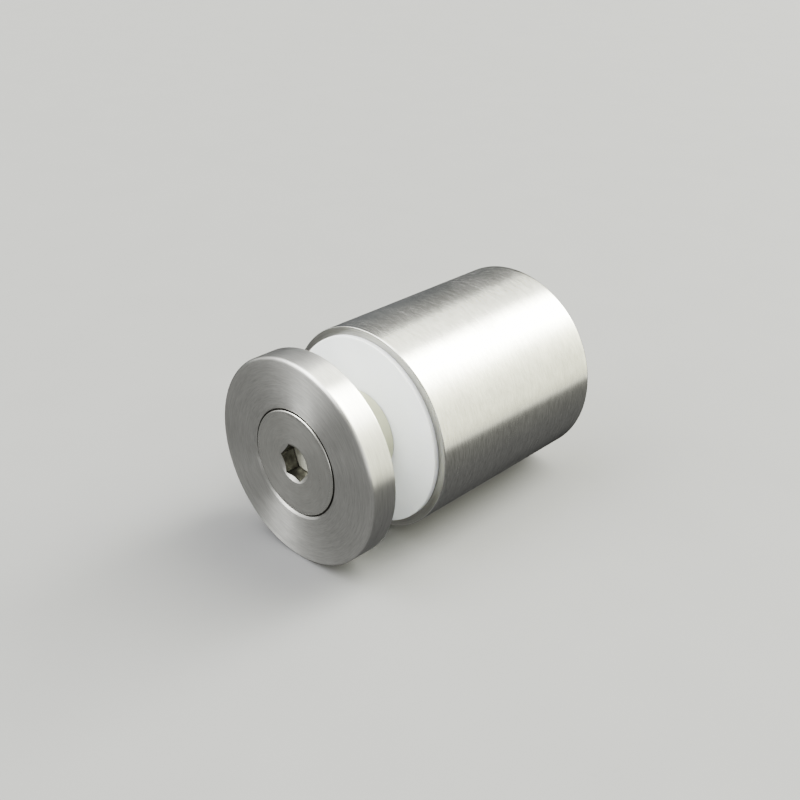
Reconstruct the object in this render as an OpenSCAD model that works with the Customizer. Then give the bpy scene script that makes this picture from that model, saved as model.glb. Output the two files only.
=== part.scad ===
// Point-fixing standoff for a drilled glass panel.
//
// A solid round barrel screws onto a stud in the wall. The glass hangs on a plastic sleeve in front
// of it, between two gaskets, and a cap held by a flush countersunk screw clamps it there. With no
// glass in, as here, the cap is screwed down onto the sleeve. Every piece is turned about one axis.
// The wall face lies in the XZ plane, and the standoff points along -Y, into the room, with +Z up.

/* [Barrel] */
// Outside diameter of the barrel
barrel_d = 38; // [37:1:60]
// Length of the barrel, from the wall face to the front gasket
barrel_len = 41; // [39:1:100]
// Radius of the barrel's two softened outer edges
barrel_edge_r = 0.5; // [0.2:0.1:1]
// Depth of full thread for the wall stud, in the rear end
stud_thread_depth = 15; // [10:1:17]

/* [Glass] */
// Thickness of the glass panel that the standoff is set for
glass_t = 10; // [8:0.5:12]

/* [Gaskets and sleeve] */
// Outside diameter of both gaskets
gasket_d = 35; // [26:0.5:36.5]
// Thickness of each gasket
gasket_t = 1; // [0.8:0.1:2]
// Radius of the gaskets' moulded outer edges
gasket_edge_r = 0.3; // [0.1:0.05:0.35]
// Outside diameter of the sleeve, which passes through the hole in the glass
sleeve_d = 16; // [13:0.5:20]
// Radius of the sleeve's outer edges
sleeve_edge_r = 0.4; // [0.1:0.1:1]

/* [Cap] */
// Outside diameter of the cap disc
cap_d = 38; // [30:1:60]
// Thickness of the cap disc
cap_t = 5.5; // [5.5:0.5:8]
// Radius of the cap's two softened outer edges
cap_edge_r = 0.4; // [0.2:0.1:1]

/* [Clamp screw] */
// Nominal diameter of the thread, in the barrel's two ends and on the screw
thread_d = 10; // [8:1:10]
// Length of the screw, head included
screw_len = 30; // [28:1:32]
// Height of the straight rim round the head
head_rim_h = 0.3; // [0.2:0.05:0.4]
// Size across the flats of the hexagon socket
socket_af = 6; // [4:1:6]
// Depth of the hexagon socket
socket_depth = 3; // [2.5:0.1:4.5]
// Reach of the conical mouth past the socket's corners
socket_chamfer = 0.2; // [0.1:0.05:0.5]
// Angle that the socket's corners came to rest at, when the screw was tight
socket_turn = -9; // [-30:1:30]
// Width of the chamfer at the screw's tip
tip_chamfer = 1; // [0.5:0.1:1.5]

/* [Fits] */
// Gap all round between the screw's thread and the tapped hole
thread_play = 0.05; // [0.02:0.01:0.1]
// Gap between the head's cone and its seat in the cap, measured across the axis
seat_play = 0.05; // [0.02:0.01:0.1]
// Gap all round between the screw and the plastic pieces on it
plastic_play = 0.3; // [0.1:0.05:0.6]
// Gap all round between the screw and the cap's bore
cap_play = 0.55; // [0.3:0.05:0.8]
// How much shorter the sleeve is than the glass is thick, so that the glass is what gets clamped
sleeve_short = 0.3; // [0.1:0.1:1]
// Thread left free past the screw's tip
tip_room = 2.5; // [1:0.5:4]

/* [Hidden] */
$fn = 96;

// Stations along the axis, counted from the wall face towards the room. The stack is closed.
sleeve_len = glass_t - sleeve_short;
barrel_front = barrel_len;
sleeve_back = barrel_front + gasket_t;
sleeve_front = sleeve_back + sleeve_len;
cap_back = sleeve_front + gasket_t;
cap_front = cap_back + cap_t;

// How far the clamp screw reaches into the barrel, and the depth of full thread for it.
engagement = screw_len - (cap_front - barrel_front);
clamp_thread_depth = engagement + tip_room;

// Tapping drills: diameter, run past the full thread, and the angle of their points.
drill_r = 0.85 * thread_d / 2;
drill_run = 1;
drill_point_angle = 118;

// The countersink at each tapped mouth reaches this much past the thread.
mouth_chamfer = 0.8;

// The screw's shank, its 90 degree head, and the holes that it passes through.
screw_r = thread_d / 2 - thread_play;
head_r = 0.96 * thread_d;
head_cone_h = head_r - screw_r;
plastic_bore_r = screw_r + plastic_play;
cap_bore_r = screw_r + cap_play;
seat_mouth_r = head_r + head_rim_h + seat_play;
socket_corner_r = socket_af / 2 / cos(30);

// Angles of the socket's conical mouth and of its nearly flat floor, as the punch leaves them.
socket_mouth_angle = 120;
socket_floor_angle = 160;

// How far a cutting shape runs past the face that it opens.
eps = 0.01;

// Turns its children's +Z, the way out from the wall, to -Y.
module facing_room() {
    rotate([90, 0, 0])
        children();
}

// Height of a cone of radius r whose sides meet at an angle, such as the point that a drill leaves.
function cone_h(r, angle) = r / tan(angle / 2);

// A ring standing on z = 0 whose two outer edges are rounded. With inner_r = 0 it is a disc.
module rounded_ring(outer_r, inner_r, h, edge_r) {
    rotate_extrude() {
        translate([inner_r, 0])
            square([outer_r - edge_r - inner_r, h]);
        translate([outer_r - 2 * edge_r, edge_r])
            square([2 * edge_r, h - 2 * edge_r]);
        for (z = [edge_r, h - edge_r])
            translate([outer_r - edge_r, z])
                circle(r = edge_r, $fn = 32);
    }
}

// A tapped blind hole that opens at z = 0 and runs down. The thread is drawn as a plain bore of its
// nominal diameter, in front of the drilled hole that it was cut in.
module tapped_hole(depth) {
    thread_r = thread_d / 2;
    rotate_extrude()
        polygon([
            [0, eps],
            [thread_r + mouth_chamfer + eps, eps],
            [thread_r, -mouth_chamfer],
            [thread_r, -depth],
            [drill_r, -depth - (thread_r - drill_r)],
            [drill_r, -depth - drill_run],
            [0, -depth - drill_run - cone_h(drill_r, drill_point_angle)]
        ]);
}

// A flat moulded washer standing on z = 0.
module gasket() {
    rounded_ring(gasket_d / 2, plastic_bore_r, gasket_t, gasket_edge_r);
}

// The solid round body, tapped for the clamp screw in front and for the wall stud behind.
module barrel() {
    color([0.72, 0.72, 0.70])
        facing_room()
            difference() {
                rounded_ring(barrel_d / 2, 0, barrel_len, barrel_edge_r);
                translate([0, 0, barrel_front])
                    tapped_hole(clamp_thread_depth);
                mirror([0, 0, 1])
                    tapped_hole(stud_thread_depth);
            }
}

// The washer between the barrel and the glass.
module barrel_gasket() {
    color([0.93, 0.94, 0.95])
        facing_room()
            translate([0, 0, barrel_front])
                gasket();
}

// The bush that keeps the edge of the hole in the glass off the screw.
module glass_sleeve() {
    color([0.72, 0.72, 0.60])
        facing_room()
            translate([0, 0, sleeve_back])
                rounded_ring(sleeve_d / 2, plastic_bore_r, sleeve_len, sleeve_edge_r);
}

// The washer between the glass and the cap.
module cap_gasket() {
    color([0.93, 0.94, 0.95])
        facing_room()
            translate([0, 0, sleeve_front])
                gasket();
}

// The clamping disc, with a clearance bore and a 90 degree seat for the screw's head.
module cap() {
    seat_h = seat_mouth_r - cap_bore_r;
    color([0.66, 0.66, 0.66])
        facing_room()
            translate([0, 0, cap_back])
                difference() {
                    rounded_ring(cap_d / 2, cap_bore_r, cap_t, cap_edge_r);
                    translate([0, 0, cap_t - seat_h])
                        cylinder(r1 = cap_bore_r, r2 = seat_mouth_r + eps, h = seat_h + eps);
                }
}

// The hexagon socket, cut down from z = 0: the six flats, the conical mouth that clears their
// corners, and the shallow cone of the floor.
module hexagon_socket() {
    mouth_r = socket_corner_r + socket_chamfer;
    mouth_h = cone_h(mouth_r, socket_mouth_angle);
    floor_r = socket_af / 2 - 0.2;
    rotate([0, 0, socket_turn])
        translate([0, 0, -socket_depth])
            linear_extrude(height = socket_depth + eps)
                circle(r = socket_corner_r, $fn = 6);
    translate([0, 0, -mouth_h])
        cylinder(r1 = 0, r2 = mouth_r * (1 + eps / mouth_h), h = mouth_h + eps);
    rotate_extrude()
        polygon([
            [0, eps - socket_depth],
            [floor_r, eps - socket_depth],
            [floor_r, -socket_depth],
            [0, -socket_depth - cone_h(floor_r, socket_floor_angle)]
        ]);
}

// The countersunk screw, its head flush with the cap. Its thread is drawn as a plain shank.
module clamp_screw() {
    color([0.62, 0.62, 0.62])
        facing_room()
            translate([0, 0, cap_front])
                difference() {
                    rotate_extrude()
                        polygon([
                            [0, 0],
                            [head_r, 0],
                            [head_r, -head_rim_h],
                            [screw_r, -head_rim_h - head_cone_h],
                            [screw_r, tip_chamfer - screw_len],
                            [screw_r - tip_chamfer, -screw_len],
                            [0, -screw_len]
                        ]);
                    hexagon_socket();
                }
}

barrel();
barrel_gasket();
glass_sleeve();
cap_gasket();
cap();
clamp_screw();
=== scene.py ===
"""Looks of a point-fixing standoff for a drilled glass panel.

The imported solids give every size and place. This script dresses them: each turned or moulded piece is
made again with softened edges, machined detail and real screw threads, gets a material of its own, and
rides on the body that carries it. The axis runs along Y: stations along it are counted from the wall
face towards the room, so a station s lies at y = -s.
"""

import logging
import math
from dataclasses import dataclass, field
from enum import Enum
from typing import Callable, Sequence

import bmesh
import bpy
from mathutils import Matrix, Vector

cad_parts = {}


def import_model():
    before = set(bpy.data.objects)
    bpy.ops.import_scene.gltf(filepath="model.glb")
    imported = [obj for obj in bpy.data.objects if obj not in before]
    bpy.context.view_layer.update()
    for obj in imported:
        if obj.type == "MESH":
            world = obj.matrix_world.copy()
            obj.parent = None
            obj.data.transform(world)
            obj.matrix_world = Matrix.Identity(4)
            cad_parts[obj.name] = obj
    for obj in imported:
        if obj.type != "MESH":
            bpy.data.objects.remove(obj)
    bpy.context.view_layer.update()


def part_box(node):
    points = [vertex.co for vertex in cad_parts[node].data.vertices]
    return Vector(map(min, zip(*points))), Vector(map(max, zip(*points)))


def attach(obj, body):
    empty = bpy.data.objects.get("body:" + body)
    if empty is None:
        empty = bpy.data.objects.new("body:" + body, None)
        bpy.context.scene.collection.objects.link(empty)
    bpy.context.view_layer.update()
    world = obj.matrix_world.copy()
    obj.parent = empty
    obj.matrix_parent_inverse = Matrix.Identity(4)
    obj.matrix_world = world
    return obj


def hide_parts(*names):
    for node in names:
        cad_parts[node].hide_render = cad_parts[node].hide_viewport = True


Socket = bpy.types.NodeSocket
Ring = list[bmesh.types.BMVert]
Colour = tuple[float, float, float, float]
Pair = tuple[float, float]

LOG = logging.getLogger("standoff")
MM = 0.001
FULL_TURN = 2.0 * math.pi

# Turning and moulding
SEGMENTS = 144  # faces round the axis
FINE_STEPS = 8  # faces in the rounded corners that show
MERGE = 1.0e-6  # vertices closer than this, in metres, become one
HAIR = 0.01 * MM  # a distance too small to see
BORE_EDGE = 0.1 * MM  # rounding of the plastic pieces' bores

# Screw threads
THREAD_TREE = "screw_thread"
ROWS_PER_PITCH = 12
SPARE_PITCHES = 2.0  # rows past the thread's length, because the rows slant
CREST_FLAT = 1.0 / 16.0  # half of a metric thread's crest, as a share of the pitch
FLANK_SLOPE = math.tan(math.radians(60.0))  # how steeply its flank falls along the axis

# Brushing
LAYER_SHARES = (0.6, 0.4)  # weights of the fine and the broad lines
SCUFFED_HEIGHTS = (-2.0 * MM, 13.0 * MM)  # from where to where the coarser brushing comes in
ACROSS_LINES = 0.25  # turn of the gloss, so that it spreads across the lines
BUMP_DEPTH = 0.01 * MM

# Scales of the noises, per metre
RAGGED_SCALE = 900.0  # the ragged edge of wear
HANDLING_SCALE = 110.0  # smudges of handling
FILM_SCALE = 700.0  # a film of oil
CHATTER_SCALE = 5200.0  # the marks of a cutting tool
CLOUD_SCALE = 160.0  # clouds in plastic
PEEL_SCALE = 2600.0  # the orange peel of plastic
FLOOR_SCALE = 60.0  # the floor's tone

# Studio
STRENGTH_RANGE = (-5.0, 7.0)  # powers of two that the tent's ramp can hold
BACKDROP = (0.75, 0.75, 0.75, 1.0)
SENSOR = 36.0  # width of the camera's sensor, in millimetres


class Inward(Enum):
    """Which way a thread runs from its mouth or head, as the sign of the station's change."""

    TOWARDS_ROOM = 1.0
    TOWARDS_WALL = -1.0


class Surface(Enum):
    """Kinds of surface, each with a finish of its own."""

    SHOWN = 0
    MACHINED = 1
    FACED = 2
    # Near-black steel in the gaps round the screw's head: painted shade
    PAINTED_GAP_SHADE = 3
    # Dark copy of the steel on the socket's flats: painted shade
    PAINTED_SHADE_SOCKET_WALL = 4
    # Near-white copy of the steel on the socket's floor: painted light
    PAINTED_LIGHT_SOCKET_FLOOR = 5


@dataclass(frozen=True)
class Corner:
    """A corner of a turned profile: its radius from the axis, its station and how far it is rounded."""

    radius: float
    station: float
    edge: float = 0.0


def span(node: str) -> Pair:
    """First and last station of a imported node.

    Args:
        node: The node's name.

    Returns:
        The stations of its wall side and its room side, in metres.
    """
    low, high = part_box(node)
    return -high[1], -low[1]


def outer_radius(node: str) -> float:
    """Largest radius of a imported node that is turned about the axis.

    Args:
        node: The node's name.

    Returns:
        The radius in metres.
    """
    low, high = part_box(node)
    return (high[0] - low[0]) / 2.0


def soften(corners: Sequence[Corner], closed: bool, steps: int = 6, hold: float = 0.07 * MM) -> list[Vector]:
    """Rounds a profile's corners and puts a holding point near both ends of each straight run.

    Args:
        corners: The profile's corners in order.
        closed: True if the last corner joins the first.
        steps: Faces in each rounded corner.
        hold: Distance of the holding points from a run's ends, in metres.

    Returns:
        Points of (radius, station) in order.
    """
    path: list[Vector] = []
    count = len(corners)
    for index, corner in enumerate(corners):
        here = Vector((corner.radius, corner.station))
        at_end = not closed and index in (0, count - 1)
        if corner.edge <= 0.0 or at_end:
            path.append(here)
            continue
        before, after = corners[index - 1], corners[(index + 1) % count]
        to_before = (Vector((before.radius, before.station)) - here).normalized()
        to_after = (Vector((after.radius, after.station)) - here).normalized()
        half = math.acos(max(-1.0, min(1.0, to_before.dot(to_after)))) / 2.0
        centre = here + (to_before + to_after).normalized() * (corner.edge / math.sin(half))
        reach = corner.edge / math.tan(half)
        first = here + to_before * reach - centre
        last = here + to_after * reach - centre
        turn = math.pi - 2.0 * half
        for step in range(steps + 1):
            part = step / steps
            weights = math.sin((1.0 - part) * turn), math.sin(part * turn)
            path.append(centre + (first * weights[0] + last * weights[1]) / math.sin(turn))
    held: list[Vector] = []
    pairs = len(path) if closed else len(path) - 1
    for index in range(pairs):
        start, end = path[index], path[(index + 1) % len(path)]
        held.append(start)
        run = end - start
        if run.length > 4.0 * hold:
            held.append(start + run.normalized() * hold)
            held.append(end - run.normalized() * hold)
    if not closed:
        held.append(path[-1])
    return held


@dataclass
class Lathe:
    """Turns profiles about the axis into one mesh.

    Attributes:
        segments: Faces round the axis.
        start: Angle of the first column from +X towards +Z, in radians.
    """

    segments: int = SEGMENTS
    start: float = 0.0
    mesh: bmesh.types.BMesh = field(default_factory=bmesh.new)

    def angles(self) -> list[float]:
        """Angle of each column, in radians."""
        return [self.start + FULL_TURN * column / self.segments for column in range(self.segments)]

    def ring(self, radii: Sequence[float], stations: Sequence[float]) -> Ring:
        """Adds one ring of vertices with its own radius and station at each column.

        Args:
            radii: Radius at each column.
            stations: Station at each column.

        Returns:
            The new vertices in column order.
        """
        return [
            self.mesh.verts.new((radius * math.cos(angle), -station, radius * math.sin(angle)))
            for angle, radius, station in zip(self.angles(), radii, stations)
        ]

    def circle(self, radius: float, station: float) -> Ring:
        """Adds a round ring, or one vertex on the axis where the radius is nothing."""
        if radius < MERGE:
            return [self.mesh.verts.new((0.0, -station, 0.0))]
        return self.ring([radius] * self.segments, [station] * self.segments)

    def skin(self, first: Ring, second: Ring, surface: Surface = Surface.SHOWN) -> None:
        """Joins two rings, or a ring and a point, with faces.

        Args:
            first: One ring.
            second: The next ring.
            surface: The finish of the new faces.
        """
        for column in range(self.segments):
            following = (column + 1) % self.segments
            if len(first) == 1:
                corners = [first[0], second[column], second[following]]
            elif len(second) == 1:
                corners = [first[column], second[0], first[following]]
            else:
                corners = [first[column], second[column], second[following], first[following]]
            self.mesh.faces.new(corners).material_index = surface.value

    def turn(self, path: Sequence[Vector], closed: bool, pick: Callable[[Vector], Surface] | None = None) -> None:
        """Turns a profile about the axis.

        Args:
            path: Points of (radius, station).
            closed: True if the last point joins the first.
            pick: Gives the surface at a point of the profile; without it all of it is shown.
        """
        rings = [self.circle(point[0], point[1]) for point in path]
        ends = list(zip(range(len(path)), [*range(1, len(path)), 0]))
        for first, second in ends if closed else ends[:-1]:
            surface = pick((path[first] + path[second]) / 2.0) if pick else Surface.SHOWN
            self.skin(rings[first], rings[second], surface)

    def add(self, mesh: bpy.types.Mesh, surface: Surface) -> None:
        """Adds the faces of a finished mesh, such as a thread, in one finish."""
        known = len(self.mesh.faces)
        self.mesh.from_mesh(mesh)
        self.mesh.faces.ensure_lookup_table()
        for face in self.mesh.faces[known:]:
            face.material_index = surface.value

    def finish(
        self, name: str, finishes: dict[Surface, bpy.types.Material], sharp: float = 25.0
    ) -> bpy.types.Object:
        """Closes the seams, points the faces outwards and makes the object.

        Args:
            name: The piece's name.
            finishes: The finish of each kind of surface on the piece.
            sharp: Faces that meet at more than this many degrees keep a crisp edge.

        Returns:
            The new object, at the origin.
        """
        bmesh.ops.remove_doubles(self.mesh, verts=self.mesh.verts, dist=MERGE)
        bmesh.ops.recalc_face_normals(self.mesh, faces=self.mesh.faces)
        slots = list(finishes)
        for face in self.mesh.faces:
            face.smooth = True
            face.material_index = slots.index(Surface(face.material_index))
        data = bpy.data.meshes.new(name)
        for finish in finishes.values():
            data.materials.append(finish)
        self.mesh.to_mesh(data)
        self.mesh.free()
        data.set_sharp_from_angle(angle=math.radians(sharp))
        return new_object(name, data)


class Sketch:
    """A short way to write node trees."""

    def __init__(self, tree: bpy.types.NodeTree) -> None:
        """Starts on a tree."""
        self.tree = tree

    def node(self, kind: str, **settings: object) -> bpy.types.Node:
        """Adds a node and sets its properties."""
        made = self.tree.nodes.new(kind)
        for name, value in settings.items():
            setattr(made, name, value)
        return made

    def feed(self, socket: Socket, value: object) -> None:
        """Links a socket to another, or gives it a plain value."""
        if isinstance(value, Socket):
            self.tree.links.new(value, socket)
        else:
            socket.default_value = value

    def give(self, node: bpy.types.Node, inputs: dict[str, object]) -> None:
        """Feeds several of a node's inputs, by name."""
        for name, value in inputs.items():
            self.feed(node.inputs[name], value)

    def math(self, operation: str, *values: object) -> Socket:
        """Adds a Math node.

        Args:
            operation: Blender's name of the operation.
            values: Its inputs, each a socket or a number.

        Returns:
            The node's result.
        """
        made = self.node("ShaderNodeMath", operation=operation)
        for socket, value in zip(made.inputs, values):
            self.feed(socket, value)
        return made.outputs[0]

    def plus(self, first: object, second: object) -> Socket:
        """Adds two numbers."""
        return self.math("ADD", first, second)

    def minus(self, first: object, second: object) -> Socket:
        """Takes the second number from the first."""
        return self.math("SUBTRACT", first, second)

    def times(self, first: object, second: object) -> Socket:
        """Multiplies two numbers."""
        return self.math("MULTIPLY", first, second)

    def larger(self, first: object, second: object) -> Socket:
        """Keeps the larger of two numbers."""
        return self.math("MAXIMUM", first, second)

    def smaller(self, first: object, second: object) -> Socket:
        """Keeps the smaller of two numbers."""
        return self.math("MINIMUM", first, second)

    def vector(self, x: object, y: object, z: object) -> Socket:
        """Combines three numbers into a vector."""
        made = self.node("ShaderNodeCombineXYZ")
        for socket, value in zip(made.inputs, (x, y, z)):
            self.feed(socket, value)
        return made.outputs[0]

    def parts(self, vector: Socket) -> tuple[Socket, ...]:
        """Splits a vector into its three numbers."""
        made = self.node("ShaderNodeSeparateXYZ")
        self.feed(made.inputs[0], vector)
        return tuple(made.outputs)

    def vector_math(self, operation: str, *values: object, output: int = 0) -> Socket:
        """Adds a Vector Math node and returns one of its results."""
        made = self.node("ShaderNodeVectorMath", operation=operation)
        for socket, value in zip(made.inputs, values):
            self.feed(socket, value)
        return made.outputs[output]

    def noise(self, vector: object, scale: float, detail: float = 2.0, rough: float = 0.5) -> Socket:
        """Adds a noise texture and returns its grey value."""
        made = self.node("ShaderNodeTexNoise")
        self.give(made, {"Vector": vector, "Scale": scale, "Detail": detail, "Roughness": rough})
        return made.outputs["Fac"]

    def between(
        self, value: object, low: float, high: float, to_low: float = 0.0, to_high: float = 1.0
    ) -> Socket:
        """Maps a value from one range to another, held at both ends."""
        made = self.node("ShaderNodeMapRange", clamp=True)
        for socket, number in zip(made.inputs[:5], (value, low, high, to_low, to_high)):
            self.feed(socket, number)
        return made.outputs[0]

    def blend(self, share: object, first: object, second: object) -> Socket:
        """Mixes two colours."""
        made = self.node("ShaderNodeMix", data_type="RGBA", clamp_factor=False)
        self.give(made, {"Factor": share, "A": first, "B": second})
        return made.outputs["Result"]

    def bump(self, height: object, strength: object, distance: float) -> Socket:
        """Adds a bump and returns the bent normal.

        Args:
            height: The height, from 0 to 1.
            strength: Share of the bump that shows.
            distance: Depth of the bump in metres.

        Returns:
            The normal.
        """
        made = self.node("ShaderNodeBump")
        self.give(made, {"Height": height, "Strength": strength, "Distance": distance})
        return made.outputs[0]


def new_material(name: str) -> tuple[bpy.types.Material, Sketch, bpy.types.Node, Socket]:
    """Makes a material with a Principled shader.

    Args:
        name: The material's name.

    Returns:
        The material, a sketch of its nodes, its shader and the place on the object.
    """
    material = bpy.data.materials.new(name)
    material.use_nodes = True
    sketch = Sketch(material.node_tree)
    place = sketch.node("ShaderNodeTexCoord").outputs["Object"]
    return material, sketch, material.node_tree.nodes["Principled BSDF"], place


def new_object(name: str, data: bpy.types.ID) -> bpy.types.Object:
    """Makes an object at the origin and puts it in the scene."""
    made = bpy.data.objects.new(name, data)
    bpy.context.scene.collection.objects.link(made)
    return made


@dataclass(frozen=True)
class Grain:
    """One layer of the brushing.

    Attributes:
        lines: Scale of the noise across the lines, per millimetre.
        breaks: Scale of the noise round the axis, per radian.
    """

    lines: float
    breaks: float


@dataclass(frozen=True)
class TurnedSteel:
    """Stainless steel brushed round the axis.

    The brushing is a noise drawn out along circles about the axis. It runs on over sides, faces and
    edges alike, because it is laid out on the angle and on the distance along the profile.

    Attributes:
        name: The finish's name.
        light: Colour of the crests of the brushing.
        dark: Colour of its hollows.
        roughness: The mean roughness.
        anisotropic: How strongly gloss spreads across the brushing.
        fine: The fine lines.
        broad: The broad bands that the fine lines lie in.
        swing: Change of roughness from line to line.
        relief: Strength of the bump.
        smudge: Change of roughness by handling.
        scuffed: Strength of the bump on the upper side, where the brushing is coarser, or None where it is
            the same all round.
        wear: How much lighter the steel is where an edge has rubbed.
        polish: How much smoother it is there.
    """

    name: str
    light: Colour
    dark: Colour
    roughness: float
    anisotropic: float
    fine: Grain
    broad: Grain
    swing: float
    relief: float
    smudge: float
    scuffed: float | None = None
    wear: float = 0.20
    polish: float = 0.12

    def rubbed(
        self, sketch: Sketch, radius: Socket, along: Socket, place: Socket, edges: Sequence[Corner]
    ) -> object:
        """How far an edge nearby has rubbed the surface, from 0 to 1.

        Args:
            sketch: The material's nodes.
            radius: Distance from the axis.
            along: Place along the axis, as Y.
            place: Place on the object.
            edges: The edges that rub.

        Returns:
            The share as a socket, or a plain 0 where there is no edge.
        """
        share: object = 0.0
        ragged = sketch.noise(place, RAGGED_SCALE, 3.0, 0.6)
        for edge in edges:
            off = sketch.vector(sketch.minus(radius, edge.radius), sketch.plus(along, edge.station), 0.0)
            reach = sketch.vector_math("LENGTH", off, output=1)
            bare, clean = 0.9 * edge.edge + 0.1 * MM, 1.6 * edge.edge + 0.5 * MM
            near = sketch.between(reach, bare, clean, 1.0, 0.0)
            share = sketch.larger(share, near)
        return sketch.times(share, sketch.between(ragged, 0.4, 0.6, 0.35, 1.0))

    def make(self, edges: Sequence[Corner] = ()) -> bpy.types.Material:
        """Builds the material.

        Args:
            edges: Edges of the piece that handling has rubbed.

        Returns:
            The material.
        """
        material, sketch, shader, place = new_material(self.name)
        x, y, z = sketch.parts(place)
        flat = sketch.vector(x, 0.0, z)
        outwards = sketch.vector_math("NORMALIZE", flat)
        radius = sketch.vector_math("LENGTH", flat, output=1)
        run = sketch.times(sketch.plus(y, radius), 1.0 / MM)
        unit = sketch.parts(outwards)
        layers: list[Socket] = []
        for grain in (self.fine, self.broad):
            spot = sketch.vector(
                sketch.times(unit[0], grain.breaks),
                sketch.times(run, grain.lines),
                sketch.times(unit[2], grain.breaks),
            )
            layers.append(sketch.noise(spot, 1.0, 2.0, 0.6))
        fine, broad = (sketch.times(layer, part) for layer, part in zip(layers, LAYER_SHARES))
        height = sketch.plus(fine, broad)
        handling = sketch.noise(place, HANDLING_SCALE, 4.0, 0.6)
        patches = sketch.between(handling, 0.40, 0.66, -self.smudge, self.smudge)
        lined = sketch.between(height, 0.3, 0.7, -self.swing, self.swing)
        worn = self.rubbed(sketch, radius, y, place, edges)
        rough = sketch.plus(self.roughness, sketch.plus(patches, lined))
        smooth = sketch.minus(rough, sketch.times(worn, self.polish))
        tone = sketch.plus(sketch.between(height, 0.36, 0.64), sketch.times(worn, self.wear))
        touched = sketch.minus(tone, sketch.between(handling, 0.56, 0.68, 0.0, 0.18))
        strength: object = self.relief
        if self.scuffed is not None:
            strength = sketch.between(z, *SCUFFED_HEIGHTS, self.relief, self.scuffed)
        turned = sketch.node(
            "ShaderNodeVectorTransform", vector_type="VECTOR", convert_from="OBJECT", convert_to="WORLD"
        )
        sketch.feed(turned.inputs[0], sketch.vector_math("CROSS_PRODUCT", (0.0, 1.0, 0.0), outwards))
        sketch.give(shader, {
            "Base Color": sketch.blend(touched, self.dark, self.light),
            "Metallic": 1.0,
            "Roughness": smooth,
            "Normal": sketch.bump(height, strength, 2.0 * BUMP_DEPTH),
            "Tangent": turned.outputs[0],
            "Anisotropic": self.anisotropic,
            "Anisotropic Rotation": ACROSS_LINES,
        })
        return material


@dataclass(frozen=True)
class MachinedSteel:
    """Steel as the tool left it, with a trace of oil: threads, drilled floors and the hexagon socket. The
    socket's dark wall copy is painted shade and its near-white floor copy is painted light.

    Attributes:
        name: The finish's name.
        light: Colour of the clean metal.
        dark: Colour where oil lies; a quarter of it is the painted shade in corners.
        roughness: The mean roughness.
        corner_shade: How far from a corner the painted shade of the occlusion test reaches, in metres; 0 for
            none.
    """

    name: str
    light: Colour
    dark: Colour
    roughness: float
    corner_shade: float = 0.0

    def make(self) -> bpy.types.Material:
        """Builds the material."""
        material, sketch, shader, place = new_material(self.name)
        film = sketch.noise(place, FILM_SCALE, 4.0, 0.6)
        metal = sketch.blend(sketch.between(film, 0.35, 0.65), self.dark, self.light)
        # Painted shade: an ambient occlusion test darkens the steel near corners to a quarter of the dark colour
        if self.corner_shade > 0.0:
            corner = sketch.node("ShaderNodeAmbientOcclusion", samples=8)
            sketch.feed(corner.inputs["Distance"], self.corner_shade)
            clear = sketch.between(corner.outputs["AO"], 0.55, 0.95)
            metal = sketch.blend(clear, tuple(0.25 * part for part in self.dark[:3]) + (1.0,), metal)
        sketch.give(shader, {
            "Base Color": metal,
            "Metallic": 1.0,
            "Roughness": sketch.plus(self.roughness, sketch.between(film, 0.3, 0.7, 0.08, -0.08)),
            "Normal": sketch.bump(sketch.noise(place, CHATTER_SCALE), 0.25, BUMP_DEPTH),
        })
        return material


@dataclass(frozen=True)
class MouldedPlastic:
    """Smooth moulded plastic with a faint orange peel.

    Attributes:
        name: The finish's name.
        tint: Main colour.
        shade: Colour of its faint clouds.
        roughness: The mean roughness.
        depth: How far light goes in, in metres.
        translucence: Share of the light that goes in.
    """

    name: str
    tint: Colour
    shade: Colour
    roughness: float
    depth: float
    translucence: float

    def make(self) -> bpy.types.Material:
        """Builds the material."""
        material, sketch, shader, place = new_material(self.name)
        cloud = sketch.noise(place, CLOUD_SCALE, 3.0)
        sketch.give(shader, {
            "Base Color": sketch.blend(sketch.between(cloud, 0.35, 0.65), self.shade, self.tint),
            "Roughness": sketch.plus(self.roughness, sketch.between(cloud, 0.3, 0.7, -0.05, 0.05)),
            "Normal": sketch.bump(sketch.noise(place, PEEL_SCALE), 0.12, BUMP_DEPTH),
            "IOR": 1.5,
            "Subsurface Weight": self.translucence,
            "Subsurface Scale": self.depth,
            "Subsurface Radius": (1.0, 1.0, 0.9),
        })
        return material


BRUSHED_BARREL = TurnedSteel(
    name="brushed_barrel_steel",
    light=(0.72, 0.72, 0.685, 1.0),
    dark=(0.515, 0.515, 0.49, 1.0),
    roughness=0.24,
    anisotropic=0.94,
    fine=Grain(lines=3.7, breaks=14.3),
    broad=Grain(lines=1.4, breaks=5.3),
    swing=0.03,
    relief=0.09,
    smudge=0.02,
    scuffed=0.36,
)
# The barrel's faced ends: the barrel's steel at about half its brightness, painted shade for the ends as they
# look in shade
DARKENED_FACED_END = TurnedSteel(
    name="darkened_faced_barrel_steel",
    light=(0.38, 0.378, 0.355, 1.0),
    dark=(0.27, 0.268, 0.248, 1.0),
    roughness=0.36,
    anisotropic=0.5,
    fine=Grain(lines=5.0, breaks=3.0),
    broad=Grain(lines=1.6, breaks=2.0),
    swing=0.04,
    relief=0.10,
    smudge=0.03,
)
BRUSHED_CAP = TurnedSteel(
    name="brushed_cap_steel",
    light=(0.70, 0.70, 0.675, 1.0),
    dark=(0.54, 0.54, 0.52, 1.0),
    roughness=0.31,
    anisotropic=0.97,
    fine=Grain(lines=7.0, breaks=8.0),
    broad=Grain(lines=2.2, breaks=3.0),
    swing=0.02,
    relief=0.14,
    smudge=0.02,
    wear=0.35,
    polish=0.0,
)
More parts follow.
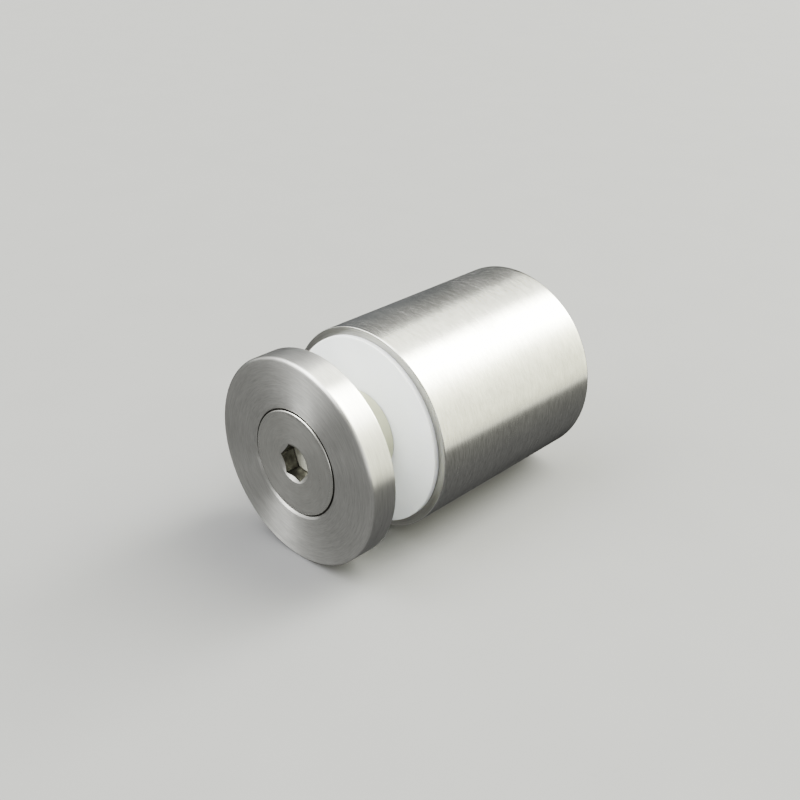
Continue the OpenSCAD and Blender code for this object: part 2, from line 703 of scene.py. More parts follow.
SCREW_HEAD = TurnedSteel(
    name="screw_head_steel",
    light=(0.62, 0.62, 0.59, 1.0),
    dark=(0.52, 0.52, 0.495, 1.0),
    roughness=0.33,
    anisotropic=0.35,
    fine=Grain(lines=6.0, breaks=5.0),
    broad=Grain(lines=1.8, breaks=2.0),
    swing=0.03,
    relief=0.05,
    smudge=0.04,
)
MACHINED = MachinedSteel("machined_steel", (0.52, 0.515, 0.49, 1.0), (0.30, 0.295, 0.27, 1.0), 0.34)
# Near-black steel in the gap between the screw's head and the cap's seat: painted shade standing in for the
# occluded gap
GAP_SHADE_STEEL = MachinedSteel("painted_gap_shade_steel", (0.07, 0.066, 0.058, 1.0), (0.035, 0.033, 0.028, 1.0), 0.45)
# The socket's walls: a dark copy of the machined steel, painted shade standing in for the shade inside the socket
PAINTED_SHADE_SOCKET_WALL = MachinedSteel(
    "painted_shade_socket_steel", (0.165, 0.163, 0.142, 1.0), (0.07, 0.068, 0.057, 1.0), 0.34, corner_shade=0.3 * MM
)
# The socket's floor: a near-white copy of the machined steel, painted light standing in for the light that
# reaches it
PAINTED_LIGHT_SOCKET_FLOOR = MachinedSteel(
    "painted_light_floor_steel", (0.92, 0.92, 0.83, 1.0), (0.74, 0.74, 0.65, 1.0), 0.62, corner_shade=0.3 * MM
)
WHITE_PLASTIC = MouldedPlastic(
    "white_gasket_plastic", (0.83, 0.85, 0.885, 1.0), (0.79, 0.81, 0.84, 1.0), 0.42, 0.8 * MM, 0.6
)
NATURAL_PLASTIC = MouldedPlastic(
    "natural_sleeve_plastic", (0.50, 0.51, 0.36, 1.0), (0.43, 0.44, 0.30, 1.0), 0.35, 1.2 * MM, 0.5
)


@dataclass(frozen=True)
class Thread:
    """A metric screw thread, cut right-handed.

    Attributes:
        crest: Largest radius of the thread's wall.
        root: Smallest radius of the wall.
        pitch: Advance in one turn.
        mouth: Station of the end where the tool or the head starts.
        length: Length along the axis from there.
        inward: Which way the thread runs from that end.
        mouth_radius: Radius of the ring at that end.
        mouth_slope: Slope of the countersink or shoulder there.
        end_radius: Radius of the ring at the far end.
        end_slope: Slope of the cone there.
        turn: Angle of the first column, in radians.
    """

    crest: float
    root: float
    pitch: float
    mouth: float
    length: float
    inward: Inward
    mouth_radius: float
    mouth_slope: float
    end_radius: float
    end_slope: float
    turn: float

    def inputs(self, material: bpy.types.Material) -> dict[str, object]:
        """Values of the tree's named inputs."""
        return {
            "Crest Radius": self.crest,
            "Root Radius": self.root,
            "Pitch": self.pitch,
            "Mouth Station": self.mouth,
            "Length": self.length,
            "Direction": self.inward.value,
            "Mouth Radius": self.mouth_radius,
            "Mouth Slope": self.mouth_slope,
            "End Radius": self.end_radius,
            "End Slope": self.end_slope,
            "Turn": self.turn,
            "Segments": SEGMENTS,
            "Rows Per Pitch": ROWS_PER_PITCH,
            "Material": material,
        }

    def make(self, material: bpy.types.Material) -> bpy.types.Mesh:
        """Cuts the thread.

        Args:
            material: The finish that the tree sets.

        Returns:
            An open threaded tube whose two end rings are round, as a plain mesh.
        """
        tree = thread_tree()
        blank = bpy.data.meshes.new("thread_blank")
        holder = new_object("thread_blank", blank)
        modifier = holder.modifiers.new("thread", "NODES")
        modifier.node_group = tree
        sockets = {item.name: item.identifier for item in tree.interface.items_tree if item.in_out == "INPUT"}
        for name, value in self.inputs(material).items():
            modifier[sockets[name]] = value
        graph = bpy.context.evaluated_depsgraph_get()
        cut = bpy.data.meshes.new_from_object(holder.evaluated_get(graph))
        holder.modifiers.clear()
        bpy.data.objects.remove(holder)
        bpy.data.meshes.remove(blank)
        return cut


def thread_tree() -> bpy.types.NodeTree:
    """Builds the thread's tree once, or finds it.

    A grid is wrapped round the axis with its rows on the helix. The thread's form is set by the row
    alone, so crests and roots follow the rows, and rows that run past either end are held there.

    Returns:
        The tree, with named inputs for its sizes.
    """
    known = bpy.data.node_groups.get(THREAD_TREE)
    if known is not None:
        return known
    tree = bpy.data.node_groups.new(THREAD_TREE, "GeometryNodeTree")
    face = tree.interface
    face.new_socket("Geometry", in_out="INPUT", socket_type="NodeSocketGeometry")
    for name in (
        "Crest Radius", "Root Radius", "Pitch", "Mouth Station", "Length", "Direction",
        "Mouth Radius", "Mouth Slope", "End Radius", "End Slope", "Turn",
    ):
        face.new_socket(name, in_out="INPUT", socket_type="NodeSocketFloat")
    for name in ("Segments", "Rows Per Pitch"):
        face.new_socket(name, in_out="INPUT", socket_type="NodeSocketInt")
    face.new_socket("Material", in_out="INPUT", socket_type="NodeSocketMaterial")
    face.new_socket("Geometry", in_out="OUTPUT", socket_type="NodeSocketGeometry")
    sketch = Sketch(tree)
    given = sketch.node("NodeGroupInput").outputs
    pitch, per_pitch, length = given["Pitch"], given["Rows Per Pitch"], given["Length"]
    pitches = sketch.plus(sketch.math("DIVIDE", length, pitch), SPARE_PITCHES)
    rows = sketch.math("CEIL", sketch.times(pitches, per_pitch))
    grid = sketch.node("GeometryNodeMeshGrid")
    sketch.give(grid, {
        "Size X": 1.0,
        "Size Y": 1.0,
        "Vertices X": sketch.plus(given["Segments"], 1.0),
        "Vertices Y": sketch.plus(rows, 1.0),
    })
    across, up, _ = sketch.parts(sketch.node("GeometryNodeInputPosition").outputs[0])
    share = sketch.plus(across, 0.5)
    row = sketch.math("ROUND", sketch.times(sketch.plus(up, 0.5), rows))
    turns = sketch.math("DIVIDE", row, per_pitch)
    climbed = sketch.times(sketch.minus(sketch.plus(turns, share), 1.0), pitch)
    depth = sketch.smaller(sketch.larger(climbed, 0.0), length)
    off_crest = sketch.math("ABSOLUTE", sketch.minus(sketch.math("FRACT", turns), 0.5))
    past_flat = sketch.larger(sketch.minus(off_crest, CREST_FLAT), 0.0)
    drop = sketch.times(sketch.times(past_flat, pitch), FLANK_SLOPE)
    form = sketch.larger(sketch.minus(given["Crest Radius"], drop), given["Root Radius"])
    from_end = sketch.times(sketch.minus(length, depth), given["End Slope"])
    capped = sketch.smaller(form, sketch.plus(given["End Radius"], from_end))
    from_mouth = sketch.times(depth, given["Mouth Slope"])
    radius = sketch.larger(capped, sketch.minus(given["Mouth Radius"], from_mouth))
    swung = sketch.times(sketch.times(share, given["Direction"]), FULL_TURN)
    angle = sketch.plus(swung, given["Turn"])
    station = sketch.plus(given["Mouth Station"], sketch.times(depth, given["Direction"]))
    spot = sketch.vector(
        sketch.times(radius, sketch.math("COSINE", angle)),
        sketch.times(station, -1.0),
        sketch.times(radius, sketch.math("SINE", angle)),
    )
    shape = grid.outputs["Mesh"]
    for kind, inputs in (
        ("GeometryNodeSetPosition", {"Position": spot}),
        ("GeometryNodeMergeByDistance", {"Distance": MERGE}),
        ("GeometryNodeRealizeInstances", {}),
        ("GeometryNodeSetMaterial", {"Material": given["Material"]}),
    ):
        step = sketch.node(kind)
        sketch.give(step, {"Geometry": shape, **inputs})
        shape = step.outputs["Geometry"]
    sketch.feed(sketch.node("NodeGroupOutput").inputs["Geometry"], shape)
    return tree


@dataclass(frozen=True)
class ThreadSize:
    """The M10 by 1.5 thread that the screw and both tapped holes share.

    Attributes:
        pitch: Advance in one turn.
        screw_crest: Radius over the screw's crests.
        screw_root: Radius at the screw's roots.
        hole_crest: Radius at the bottom of the hole's grooves.
        hole_root: Radius of the tapping drill, which is left between the grooves.
    """

    pitch: float = 1.5 * MM
    screw_crest: float = 4.95 * MM
    screw_root: float = 4.03 * MM
    hole_crest: float = 5.0 * MM
    hole_root: float = 4.25 * MM


@dataclass
class ClampScrew:
    """The countersunk screw that clamps the cap, with its hexagon socket.

    Attributes:
        thread: The thread's sizes.
        head_edge: Rounding of the head's rim.
        rim: Height of the straight rim.
        socket_af: Size across the socket's flats.
        socket_depth: Depth of the flats.
        socket_chamfer: Reach of the conical mouth past the socket's corners.
        mouth_angle: Angle of the conical mouth, in radians.
        floor_inset: Width of the level rim round the floor's shallow cone.
        floor_angle: Angle of that cone, in radians.
        wall_rings: Where the rings of the flats lie, as shares of their height.
        floor_rings: Where the rings of the floor lie, as shares of its radius from the rim.
        tip_chamfer: Width of the chamfer at the tip.
        runout: Slope at which the thread runs out under the head.
        turn: Angle of a corner of the socket, in radians.
    """

    thread: ThreadSize = field(default_factory=ThreadSize)
    head_edge: float = 0.26 * MM
    rim: float = 0.3 * MM
    socket_af: float = 6.0 * MM
    socket_depth: float = 3.0 * MM
    socket_chamfer: float = 0.2 * MM
    mouth_angle: float = math.radians(120.0)
    floor_inset: float = 0.2 * MM
    floor_angle: float = math.radians(160.0)
    wall_rings: tuple[float, ...] = (0.05, 0.35, 0.65, 0.95, 1.0)
    floor_rings: tuple[float, ...] = (0.0, 0.33, 0.66, 1.0)
    tip_chamfer: float = 1.0 * MM
    runout: float = 0.8
    turn: float = math.radians(-9.0)

    def neck(self) -> float:
        """Station where the head's cone meets the thread."""
        top = span("clamp_screw")[1]
        return top - self.rim - (outer_radius("clamp_screw") - self.thread.screw_crest)

    def hexagon(self, lathe: Lathe, inset: float = 0.0) -> list[float]:
        """Distance from the axis to the socket's wall at each column."""
        flat = self.socket_af / 2.0 - inset
        sixth = math.radians(60.0)
        return [flat / math.cos((angle - self.turn) % sixth - sixth / 2.0) for angle in lathe.angles()]

    def cut_socket(self, lathe: Lathe, top: float) -> float:
        """Adds the socket: conical mouth, six flats, shallow floor.

        Args:
            lathe: The lathe that holds the screw.
            top: Station of the head's face.

        Returns:
            Radius of the mouth's ring on the face.
        """
        wall = self.hexagon(lathe)
        mouth = max(wall) + self.socket_chamfer
        fall = 1.0 / math.tan(self.mouth_angle / 2.0)
        edge = [(mouth - radius) * fall for radius in wall]
        crown = lathe.circle(mouth, top)
        rings = [lathe.ring(wall, [top - depth for depth in edge])]
        lathe.skin(crown, rings[0])
        for share in self.wall_rings:
            rings.append(
                lathe.ring(wall, [top - depth * (1.0 - share) - self.socket_depth * share for depth in edge])
            )
        # The six flats get the dark wall copy of the steel: painted shade
        for first, second in zip(rings, rings[1:]):
            lathe.skin(first, second, Surface.PAINTED_SHADE_SOCKET_WALL)
        cone = self.socket_af / 2.0 - self.floor_inset
        point = cone / math.tan(self.floor_angle / 2.0)
        floor = [rings[-1]] + [
            lathe.circle(cone * (1.0 - share), top - self.socket_depth - point * share)
            for share in self.floor_rings
        ]
        # The floor gets the near-white copy of the steel: painted light
        for first, second in zip(floor, floor[1:]):
            lathe.skin(first, second, Surface.PAINTED_LIGHT_SOCKET_FLOOR)
        return mouth

    def make(self) -> bpy.types.Object:
        """Builds and dresses the screw."""
        tip, top = span("clamp_screw")
        head = outer_radius("clamp_screw")
        lathe = Lathe(start=self.turn)
        mouth = self.cut_socket(lathe, top)
        profile = [
            Corner(mouth, top),
            Corner(head, top, self.head_edge),
            Corner(head, top - self.rim, 0.02 * MM),
            Corner(self.thread.screw_crest, self.neck()),
        ]
        rounded = top - self.head_edge
        # The head's rim and cone below its rounding get the near-black gap steel: painted shade in the seat's gap
        lathe.turn(
            soften(profile, closed=False), False,
            lambda point: Surface.PAINTED_GAP_SHADE if point[1] < rounded else Surface.SHOWN,
        )
        tip_radius = self.thread.screw_crest - self.tip_chamfer
        end = [Vector((tip_radius, tip)), Vector((tip_radius / 2.0, tip)), Vector((0.0, tip))]
        lathe.turn(end, False, lambda point: Surface.MACHINED)
        machined = MACHINED.make()
        thread = Thread(
            crest=self.thread.screw_crest,
            root=self.thread.screw_root,
            pitch=self.thread.pitch,
            mouth=self.neck(),
            length=self.neck() - tip,
            inward=Inward.TOWARDS_WALL,
            mouth_radius=self.thread.screw_crest,
            mouth_slope=self.runout,
            end_radius=tip_radius,
            end_slope=1.0,
            turn=self.turn,
        ).make(machined)
        lathe.add(thread, Surface.MACHINED)
        piece = lathe.finish("clamp_screw_threaded", {
            Surface.SHOWN: SCREW_HEAD.make((Corner(head, top, self.head_edge),)),
            Surface.MACHINED: machined,
            Surface.PAINTED_GAP_SHADE: GAP_SHADE_STEEL.make(),
            Surface.PAINTED_SHADE_SOCKET_WALL: PAINTED_SHADE_SOCKET_WALL.make(),
            Surface.PAINTED_LIGHT_SOCKET_FLOOR: PAINTED_LIGHT_SOCKET_FLOOR.make(),
        })
        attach(piece, "screw")
        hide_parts("clamp_screw")
        return piece


@dataclass
class Barrel:
    """The solid round body, tapped at both ends.

    Attributes:
        thread: The thread's sizes.
        edge: Rounding of the outer edge in front.
        rear_edge: Rounding of the outer edge at the wall.
        mouth: Width of the countersink at each tapped hole.
        stud_depth: Depth of full thread in the rear hole.
        clamp_depth: Depth of full thread in the front hole.
        drill_run: How far the tapping drill ran past the full thread.
        drill_angle: Angle of the drill's point, in radians.
        turn: Angle of the first column, which lines the front thread up with the screw's.
    """

    thread: ThreadSize = field(default_factory=ThreadSize)
    edge: float = 0.18 * MM
    rear_edge: float = 0.5 * MM
    mouth: float = 0.8 * MM
    stud_depth: float = 15.0 * MM
    clamp_depth: float = 15.3 * MM
    drill_run: float = 1.0 * MM
    drill_angle: float = math.radians(118.0)
    turn: float = 0.0

    def tap(self, lathe: Lathe, station: float, depth: float, inward: Inward, finish: bpy.types.Material) -> None:
        """Adds one tapped hole: countersunk mouth, thread and the drill's blind end.

        Args:
            lathe: The lathe that holds the barrel.
            station: Station of the hole's mouth.
            depth: Depth of full thread.
            inward: Which way the hole runs.
            finish: The finish that the thread's tree sets.
        """
        size = self.thread
        cut = depth + size.hole_crest - size.hole_root
        thread = Thread(
            crest=size.hole_crest,
            root=size.hole_root,
            pitch=size.pitch,
            mouth=station,
            length=cut,
            inward=inward,
            mouth_radius=size.hole_crest + self.mouth,
            mouth_slope=1.0,
            end_radius=size.hole_root,
            end_slope=1.0,
            turn=lathe.start,
        ).make(finish)
        lathe.add(thread, Surface.MACHINED)
        sign = inward.value
        floor = depth + self.drill_run
        point = size.hole_root / math.tan(self.drill_angle / 2.0)
        blind = [
            Vector((size.hole_root, station + sign * cut)),
            Vector((size.hole_root, station + sign * floor)),
            Vector((size.hole_root / 2.0, station + sign * (floor + point / 2.0))),
            Vector((0.0, station + sign * (floor + point))),
        ]
        lathe.turn(blind, False, lambda point: Surface.MACHINED)

    def make(self) -> bpy.types.Object:
        """Builds and dresses the barrel."""
        wall, front = span("barrel")
        radius = outer_radius("barrel")
        lathe = Lathe(start=self.turn)
        mouth = self.thread.hole_crest + self.mouth
        profile = [
            Corner(mouth, wall),
            Corner(radius, wall, self.rear_edge),
            Corner(radius, front, self.edge),
            Corner(mouth, front),
        ]
        low, high = wall + HAIR, front - HAIR
        lathe.turn(
            soften(profile, closed=False, steps=FINE_STEPS), False,
            lambda point: Surface.SHOWN if low < point[1] < high else Surface.FACED,
        )
        machined = MACHINED.make()
        self.tap(lathe, wall, self.stud_depth, Inward.TOWARDS_ROOM, machined)
        self.tap(lathe, front, self.clamp_depth, Inward.TOWARDS_WALL, machined)
        rubbed = (Corner(radius, front, self.edge), Corner(radius, wall, self.rear_edge))
        # The end faces get the darkened faced steel: painted shade
        piece = lathe.finish("barrel_brushed", {
            Surface.SHOWN: BRUSHED_BARREL.make(rubbed),
            Surface.MACHINED: machined,
            Surface.FACED: DARKENED_FACED_END.make(),
        })
        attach(piece, "fixed")
        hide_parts("barrel")
        return piece


@dataclass
class Cap:
    """The clamping disc, with a bore and a 90 degree seat for the screw's head.

    Attributes:
        bore: Radius of the bore.
        seat: Radius that the seat's cone would reach on the face.
        relief: Depth of the straight wall that clears the head's rim.
        chamfer: Width and depth of the broken edge round the seat.
        lip: How far below that edge the wall of the seat keeps the shown steel, before the near-black painted
            shade of the gap starts.
        edge: Rounding of the outer edge on the room side.
        rear_edge: Rounding of the outer edge on the glass side.
    """

    bore: float = 5.5 * MM
    seat: float = 9.88 * MM
    relief: float = 0.45 * MM
    chamfer: Pair = (0.45 * MM, 0.24 * MM)
    lip: float = 0.12 * MM
    edge: float = 0.62 * MM
    rear_edge: float = 0.4 * MM

    def make(self) -> bpy.types.Object:
        """Builds and dresses the cap."""
        back, face = span("cap")
        radius = outer_radius("cap")
        profile = [
            Corner(self.bore, back, 0.15 * MM),
            Corner(self.bore, face - (self.seat - self.bore), 0.05 * MM),
            Corner(self.seat - self.relief, face - self.relief, 0.02 * MM),
            Corner(self.seat, face - self.relief, 0.02 * MM),
            Corner(self.seat, face - self.chamfer[1], 0.1 * MM),
            Corner(self.seat + self.chamfer[0], face, 0.3 * MM),
            Corner(radius, face, self.edge),
            Corner(radius, back, self.rear_edge),
        ]
        lathe = Lathe()
        inner = self.seat + HAIR
        low, high = back + HAIR, face - self.chamfer[1] - self.lip
        # The bore and the seat's walls below the lip get the near-black gap steel: painted shade in the gap round
        # the head
        lathe.turn(
            soften(profile, closed=True, steps=FINE_STEPS), True,
            lambda point: Surface.PAINTED_GAP_SHADE if point[0] < inner and low < point[1] < high else Surface.SHOWN,
        )
        rubbed = (Corner(radius, face, self.edge), Corner(radius, back, self.rear_edge))
        piece = lathe.finish("cap_turned", {
            Surface.SHOWN: BRUSHED_CAP.make(rubbed),
            Surface.PAINTED_GAP_SHADE: GAP_SHADE_STEEL.make(),
        })
        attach(piece, "clamp")
        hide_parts("cap")
        return piece


def washer(node: str, bore: float, wall_edge: float, room_edge: float) -> Lathe:
    """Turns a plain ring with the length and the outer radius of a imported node.

    Args:
        node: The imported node.
        bore: Radius of the bore.
        wall_edge: Rounding of the outer edge on the wall side.
        room_edge: Rounding of the outer edge on the room side.

    Returns:
        The lathe that holds the ring.
    """
    low, high = span(node)
    radius = outer_radius(node)
    profile = [
        Corner(bore, low, BORE_EDGE),
        Corner(bore, high, BORE_EDGE),
        Corner(radius, high, room_edge),
        Corner(radius, low, wall_edge),
    ]
    lathe = Lathe()
    lathe.turn(soften(profile, closed=True, steps=FINE_STEPS), closed=True)
    return lathe


@dataclass
class Gasket:
    """A flat moulded washer.

    Attributes:
        node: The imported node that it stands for.
        body: The body that carries it.
        wall_edge: Rounding of its outer edge on the wall side.
        room_edge: Rounding of its outer edge on the room side.
        bore: Radius of its bore.
    """

    node: str
    body: str
    wall_edge: float
    room_edge: float
    bore: float = 5.25 * MM

    def make(self, finish: bpy.types.Material) -> bpy.types.Object:
        """Builds and dresses the gasket."""
        lathe = washer(self.node, self.bore, self.wall_edge, self.room_edge)
        piece = lathe.finish(f"{self.node}_moulded", {Surface.SHOWN: finish})
        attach(piece, self.body)
        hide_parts(self.node)
        return piece


@dataclass
class GlassSleeve:
    """The bush that keeps the glass off the screw.

    Attributes:
        bore: Radius of its bore.
        edge: Rounding of its outer edges.
    """

    bore: float = 5.25 * MM
    edge: float = 0.4 * MM

    def make(self) -> bpy.types.Object:
        """Builds and dresses the sleeve."""
        lathe = washer("glass_sleeve", self.bore, self.edge, self.edge)
        piece = lathe.finish("glass_sleeve_moulded", {Surface.SHOWN: NATURAL_PLASTIC.make()})
        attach(piece, "clamp")
        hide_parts("glass_sleeve")
        return piece


@dataclass(frozen=True)
class Reach:
    """Where the parts of the tent change over.

    Each pair is the start and the end of a change, along X, Y or Z of the direction that the light comes
    from: X to the right, Y towards the wall and Z up.

    Attributes:
        room_y: From the room side's light to the wall side's.
        high_x: The high light, from left to right.
        high_end_x: Its left end, which is weaker.
        lift_x: The stretch at the far left where it starts lower.
        rise_z: Where it starts.
        bright_z: Where it gets brighter upwards.
        ahead_y: Where it comes in from the side.
        above_y: The same for its part overhead.
        above_z: Where that part starts.
        side_x: The light from the right.
        side_z: Where that starts.
        skew_x: The bands' turn, from left to right.
        away_x: The left, where the tent darkens towards the wall.
        away_y: How it darkens there.
        close_x: The far left, where it darkens towards the room.
        close_y: How it darkens there.
    """

    room_y: Pair = (0.05, 0.3)
    high_x: Pair = (-0.35, 0.25)
    high_end_x: Pair = (-0.72, -0.45)
    lift_x: Pair = (-0.72, -0.88)
    rise_z: Pair = (0.05, 0.25)
    bright_z: Pair = (0.28, 0.8)
    ahead_y: Pair = (0.0, -0.3)
    above_y: Pair = (0.2, -0.1)
    above_z: Pair = (0.75, 0.95)
    side_x: Pair = (0.45, 0.8)
    side_z: Pair = (-0.2, 0.0)
    skew_x: Pair = (-0.2, 0.3)
    away_x: Pair = (0.0, -0.35)
    away_y: Pair = (0.62, 0.71)
    close_x: Pair = (-0.25, -0.50)
    close_y: Pair = (0.56, 0.64)


@dataclass
class Studio:
    """Floor, light and camera. None of it is part of the object.

    Attributes:
        floor_size: Side of the floor.
        floor_colour: Colour of the floor.
        camera_place: Where the camera stands, in metres.
        camera_azimuth: Its angle round the object, in degrees.
        camera_elevation: Its angle above the horizon, in degrees.
        lens: Focal length on a 36 mm sensor, in millimetres.
        tent: Light from the wall side, as pairs of angle about the axis in degrees and strength.
        tint: Colour of that light, as pairs of the same angle and colour.
        reach: Where the parts of the tent change over.
        skew: How far the tent's bands turn from the room side to the wall side, at the left and the right.
        skew_about: Where along Y they don't turn.
        falloff: How much darker the tent is towards the wall, at the left.
        fall_close: How much darker it is towards the room, at the far left.
        front_dark: Strength of the low light from the room side.
        front_left: Strength of the high light from the room side, at the left.
        front_right: The same at the right.
        front_end: Share of it at its left end.
        front_lift: How much lower it starts at the far left.
        front_top: How many times brighter it gets overhead.
        front_blue: Share of blue in the room side's light, a little less than of red and green.
        side: Strength of the light that comes round from the right.
        spot_towards: Direction of the soft spot on the room side.
        spot_strength: Strength of the spot.
        spot_focus: How narrow the spot is.
    """

    floor_size: float = 3.0
    floor_colour: Colour = (0.150, 0.152, 0.157, 1.0)
    camera_place: tuple[float, float, float] = (0.125728, -0.162232, 0.097253)
    camera_azimuth: float = 44.062
    camera_elevation: float = 27.689
    lens: float = 50.251
    tent: tuple[Pair, ...] = (
        (-180.0, 0.32), (-163.0, 0.25), (-150.0, 0.20), (-132.0, 0.12), (-120.0, 0.05), (-104.0, 0.11),
        (-92.0, 0.14), (-67.0, 0.165), (-55.0, 0.185), (-42.0, 0.22), (-30.0, 0.28), (-25.0, 0.5),
        (-20.0, 2.4), (-4.0, 3.5), (8.0, 3.6), (21.0, 4.6), (34.0, 7.0), (47.0, 12.0), (58.0, 30.0),
        (72.0, 46.0), (84.0, 34.0), (93.0, 6.0), (104.0, 6.2), (112.0, 6.5), (120.0, 7.2), (126.0, 3.1),
        (132.0, 1.4), (138.0, 0.88), (148.0, 0.62), (160.0, 0.45), (180.0, 0.32),
    )
    tint: tuple[tuple[float, tuple[float, float, float]], ...] = (
        (-180.0, (0.95, 1.0, 1.06)), (-130.0, (1.0, 1.0, 1.0)), (-60.0, (1.0, 1.0, 0.97)),
        (-24.0, (1.0, 1.0, 0.9)), (-16.0, (1.0, 1.0, 0.74)), (40.0, (1.0, 1.0, 0.76)),
        (60.0, (1.0, 1.0, 0.9)), (115.0, (1.0, 1.0, 0.84)), (145.0, (1.0, 1.0, 0.95)),
        (165.0, (0.95, 1.0, 1.04)),
    )
    reach: Reach = Reach()
    skew: Pair = (-35.0, 45.0)
    skew_about: float = 0.6
    falloff: float = 0.9
    fall_close: float = 0.65
    front_dark: float = 0.31
    front_left: float = 2.15
    front_right: float = 0.3
    front_end: float = 0.8
    front_lift: float = 0.2
    front_top: float = 7.5
    front_blue: float = 0.97
    side: float = 1.4
    spot_towards: tuple[float, float, float] = (-0.42, -0.84, 0.33)
    spot_strength: float = 1.8
    spot_focus: float = 70.0

    def floor(self) -> None:
        """Lays the floor that the standoff lies on."""
        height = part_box("barrel")[0][2]
        half = self.floor_size / 2.0
        corners = [(-half, -half, height), (half, -half, height), (half, half, height), (-half, half, height)]
        data = bpy.data.meshes.new("floor")
        data.from_pydata(corners, [], [(0, 1, 2, 3)])
        ground = new_object("floor", data)
        material, sketch, shader, place = new_material("pale_floor")
        tone = sketch.between(sketch.noise(place, FLOOR_SCALE, 4.0), 0.3, 0.7)
        low = tuple(0.97 * part for part in self.floor_colour[:3]) + (1.0,)
        sketch.give(shader, {"Base Color": sketch.blend(tone, low, self.floor_colour), "Roughness": 0.8})
        data.materials.append(material)
        ground.visible_glossy = False
        ground.visible_diffuse = False

    def ramp(self, sketch: Sketch, angle: Socket, stops: Sequence[tuple[float, Vector]]) -> Socket:
        """A colour as a curve over the angle about the axis.

        Args:
            sketch: The world's nodes.
            angle: The angle as a share of a turn, from 0 at -180 degrees to 1 at 180.
            stops: Pairs of angle in degrees and colour.

        Returns:
            The colour.
        """
        ramp = sketch.node("ShaderNodeValToRGB")
        band = ramp.color_ramp
        while len(band.elements) > 1:
            band.elements.remove(band.elements[-1])
        for index, (degrees, colour) in enumerate(stops):
            place = (degrees + 180.0) / 360.0
            stop = band.elements[0] if index == 0 else band.elements.new(place)
            stop.position = place
            stop.color = (*colour, 1.0)
        sketch.feed(ramp.inputs[0], angle)
        return ramp.outputs["Color"]

    def front(self, sketch: Sketch, towards: Socket) -> Socket:
        """Strength of the tent on the room side, which shines on the faces.

        Args:
            sketch: The world's nodes.
            towards: The direction of the light.

        Returns:
            The strength.
        """
        x, y, z = sketch.parts(towards)
        reach = self.reach
        across = sketch.between(x, *reach.high_x, self.front_left, self.front_right)
        high = sketch.times(across, sketch.between(x, *reach.high_end_x, self.front_end, 1.0))
        lift = sketch.plus(z, sketch.between(x, *reach.lift_x, 0.0, self.front_lift))
        brightening = sketch.between(z, *reach.bright_z, 0.0, self.front_top)
        rise = sketch.plus(sketch.between(lift, *reach.rise_z), brightening)
        ahead = sketch.between(y, *reach.ahead_y)
        above = sketch.times(sketch.between(y, *reach.above_y), sketch.between(z, *reach.above_z))
        window = sketch.times(rise, sketch.larger(ahead, above))
        spread = sketch.times(window, sketch.minus(high, self.front_dark))
        around = sketch.between(x, *reach.side_x, 0.0, self.side)
        side = sketch.times(around, sketch.between(z, *reach.side_z))
        near = sketch.vector_math("DOT_PRODUCT", towards, Vector(self.spot_towards).normalized(), output=1)
        off = sketch.times(sketch.minus(near, 1.0), self.spot_focus)
        spot = sketch.times(sketch.math("EXPONENT", off), self.spot_strength)
        return sketch.plus(sketch.plus(sketch.plus(spread, side), spot), self.front_dark)

    def light(self) -> None:
        """Surrounds the scene with a soft light tent."""
        world = bpy.data.worlds.new("light_tent")
        bpy.context.scene.world = world
        world.use_nodes = True
        sketch = Sketch(world.node_tree)
        background = world.node_tree.nodes["Background"]
        towards = sketch.node("ShaderNodeTexCoord").outputs["Generated"]
        x, y, z = sketch.parts(towards)
        around = sketch.math("DIVIDE", sketch.math("ARCTAN2", z, x), FULL_TURN)
        reach = self.reach
        sway = sketch.between(x, *reach.skew_x, *(side / 360.0 for side in self.skew))
        skew = sketch.times(sketch.minus(y, self.skew_about), sway)
        angle = sketch.math("FRACT", sketch.plus(sketch.plus(around, 0.5), skew))
        low, high = STRENGTH_RANGE
        levels = [
            (degrees, Vector([(math.log2(strength) - low) / (high - low)] * 3))
            for degrees, strength in self.tent
        ]
        power = sketch.times(self.ramp(sketch, angle, levels), high - low)
        strength = sketch.math("POWER", 2.0, sketch.plus(power, low))
        tint = self.ramp(sketch, angle, [(degrees, Vector(colour)) for degrees, colour in self.tint])
        away = sketch.between(y, *reach.away_y, 0.0, self.falloff)
        close = sketch.between(y, *reach.close_y, self.fall_close, 0.0)
        away_left = sketch.times(sketch.between(x, *reach.away_x), away)
        close_left = sketch.times(sketch.between(x, *reach.close_x), close)
        dimmed = sketch.larger(away_left, close_left)
        kept = sketch.times(strength, sketch.minus(1.0, dimmed))
        back = sketch.vector_math("MULTIPLY", tint, sketch.vector(kept, kept, kept))
        front = self.front(sketch, towards)
        share = sketch.between(y, *reach.room_y)
        mixed = sketch.blend(share, sketch.vector(front, front, sketch.times(front, self.front_blue)), back)
        seen = sketch.node("ShaderNodeLightPath").outputs["Is Camera Ray"]
        sketch.give(background, {"Color": sketch.blend(seen, mixed, BACKDROP), "Strength": 1.0})

    def camera(self) -> None:
        """Sets up the camera."""
        data = bpy.data.cameras.new("camera")
        data.sensor_width = SENSOR
        data.lens = self.lens
        data.clip_start = 0.01
        data.clip_end = 20.0
        camera = new_object("camera", data)
        azimuth, elevation = math.radians(self.camera_azimuth), math.radians(self.camera_elevation)
        towards = Vector((
            -math.sin(azimuth) * math.cos(elevation),
            math.cos(azimuth) * math.cos(elevation),
            -math.sin(elevation),
        ))
        camera.location = self.camera_place
        camera.rotation_mode = "QUATERNION"
        camera.rotation_quaternion = towards.to_track_quat("-Z", "Y")
        bpy.context.scene.camera = camera

    def make(self) -> None:
        """Sets up the studio."""
        self.floor()
        self.light()
        self.camera()


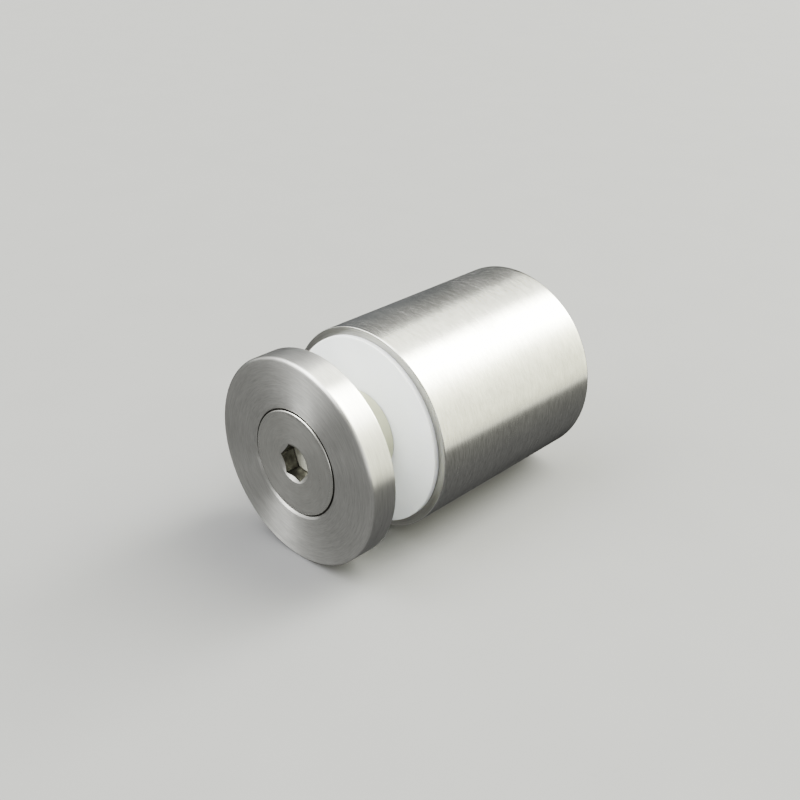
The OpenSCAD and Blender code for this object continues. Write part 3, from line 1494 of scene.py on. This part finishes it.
def report(piece: bpy.types.Object) -> None:
    """Logs a finished piece and its size."""
    piece.data.calc_loop_triangles()
    sides = ", ".join(f"{1000.0 * side:.2f}" for side in piece.dimensions)
    LOG.info("%s: %d triangles, %s mm", piece.name, len(piece.data.loop_triangles), sides)


def main() -> None:
    """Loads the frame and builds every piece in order."""
    logging.basicConfig(level=logging.INFO, format="%(name)s: %(message)s")
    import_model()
    screw = ClampScrew()
    report(screw.make())
    front = span("barrel")[1]
    lag = FULL_TURN * ((screw.neck() - front) / screw.thread.pitch % 1.0)
    report(Barrel(turn=screw.turn - lag).make())
    report(Cap().make())
    white = WHITE_PLASTIC.make()
    report(Gasket("barrel_gasket", "fixed", wall_edge=0.05 * MM, room_edge=0.12 * MM).make(white))
    report(Gasket("cap_gasket", "clamp", wall_edge=0.12 * MM, room_edge=0.05 * MM).make(white))
    report(GlassSleeve().make())
    Studio().make()
    bpy.context.view_layer.update()


if __name__ == "__main__":
    main()
